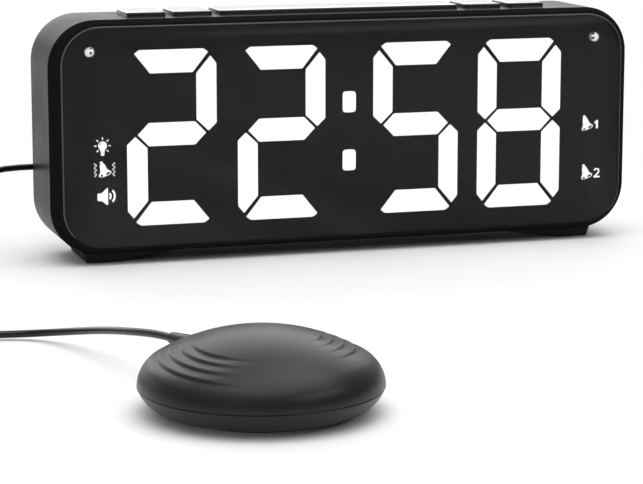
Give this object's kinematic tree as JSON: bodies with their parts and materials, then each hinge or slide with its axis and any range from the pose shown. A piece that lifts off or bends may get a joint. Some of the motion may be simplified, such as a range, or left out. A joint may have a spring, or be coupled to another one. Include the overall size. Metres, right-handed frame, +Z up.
{
  "type": "bed shaker alarm clock",
  "caption": "Wide alarm clock with large lit digits behind a smoked lens and push keys on top, with a round vibrating bed shaker on its lead.",
  "frame": {"origin": "on the table, under the middle of the box round the clock and the shaker, their lead left out", "axes": "+Z up from the table; -Y is the way the clock's front faces; +X to the right of someone who reads the clock"},
  "size_m": [0.2647, 0.257, 0.0766],
  "materials": {
    "case_black": "fine satin",
    "lens_smoke": "smoked, polished",
    "mask_black": "dull black print",
    "bar_lit": "diffusing white",
    "bar_dark": "unlit diffuser",
    "reflector_white": "matt white",
    "board_green": "solder mask",
    "chip_yellow": "phosphor",
    "lamp_clear": "water clear",
    "key_black": "polished top",
    "plunger_white": "moulded",
    "switch_black": "moulded",
    "screw_steel": "zinc plated",
    "socket_black": "moulded",
    "cell_steel": "bright can",
    "speaker_black": "pressed basket",
    "magnet_grey": "ferrite",
    "foot_rubber": "matt",
    "shell_black": "satin",
    "pad_rubber": "matt",
    "motor_steel": "drawn can",
    "shaft_steel": "ground",
    "weight_brass": "turned",
    "cord_black": "gloss vinyl",
    "plug_metal": "plated"
  },
  "bodies": {
    "clock": {"main_case": "case_black", "rear_cover": "case_black", "front_lens": "lens_smoke", "display_mask": "mask_black", "lit_segments": "bar_lit", "colon_dots": "bar_lit", "dark_segments": "bar_dark", "reflector_block": "reflector_white", "display_board": "board_green", "main_board": "board_green", "key_board": "board_green", "segment_leds": "chip_yellow", "flash_lamp_left": "lamp_clear", "flash_lamp_right": "lamp_clear", "key_switches": "switch_black", "cover_screws": "screw_steel", "shaker_jack": "socket_black", "power_inlet": "socket_black", "cell_holder": "socket_black", "backup_cell": "cell_steel", "speaker": "speaker_black", "speaker_magnet": "magnet_grey", "foot_left": "foot_rubber", "foot_right": "foot_rubber", "plug_pin": "plug_metal", "plug_body": "cord_black", "cord_coil": "cord_black", "coil_tie": "switch_black", "cord_to_shaker": "cord_black", "cord_to_clock": "cord_black"},
    "key_left_outer_body": {"key_left_outer": "key_black", "key_left_outer_plunger": "plunger_white"},
    "key_left_inner_body": {"key_left_inner": "key_black", "key_left_inner_plunger": "plunger_white"},
    "snooze_bar_body": {"snooze_bar": "key_black", "snooze_bar_plunger": "plunger_white"},
    "key_right_inner_body": {"key_right_inner": "key_black", "key_right_inner_plunger": "plunger_white"},
    "key_right_outer_body": {"key_right_outer": "key_black", "key_right_outer_plunger": "plunger_white"},
    "hatch": {"cell_hatch": "case_black"},
    "shaker": {"shaker_top_shell": "shell_black", "shaker_bottom_shell": "shell_black", "shaker_screws": "screw_steel", "shaker_pad": "pad_rubber", "motor_can": "motor_steel", "motor_clamp": "motor_steel", "shaker_gland": "cord_black"},
    "rotor": {"motor_shaft": "shaft_steel", "eccentric_weight": "weight_brass"}
  },
  "joints": [
    {"name": "key_left_outer_press", "type": "slide", "parent": "clock", "child": "key_left_outer_body", "axis": [0, 0, -1], "range_m": [0, 0.0006], "stiffness_N_per_m": 1500},
    {"name": "key_left_inner_press", "type": "slide", "parent": "clock", "child": "key_left_inner_body", "axis": [0, 0, -1], "range_m": [0, 0.0006], "stiffness_N_per_m": 1500},
    {"name": "snooze_bar_press", "type": "slide", "parent": "clock", "child": "snooze_bar_body", "axis": [0, 0, -1], "range_m": [0, 0.0006], "stiffness_N_per_m": 1500},
    {"name": "key_right_inner_press", "type": "slide", "parent": "clock", "child": "key_right_inner_body", "axis": [0, 0, -1], "range_m": [0, 0.0006], "stiffness_N_per_m": 1500},
    {"name": "key_right_outer_press", "type": "slide", "parent": "clock", "child": "key_right_outer_body", "axis": [0, 0, -1], "range_m": [0, 0.0006], "stiffness_N_per_m": 1500},
    {"name": "hatch_pull", "type": "slide", "parent": "clock", "child": "hatch", "axis": [0, 1, 0], "range_m": [0, 0.015]},
    {"name": "shaker_lift", "type": "slide", "parent": "clock", "child": "shaker", "axis": [0, 0, 1], "range_m": [0, 0.06]},
    {"name": "weight_spin", "type": "hinge", "parent": "shaker", "child": "rotor", "pos_m": [-0.06735, -0.09498, 0.0092], "axis": [1, 0, 0], "continuous": true}
  ]
}
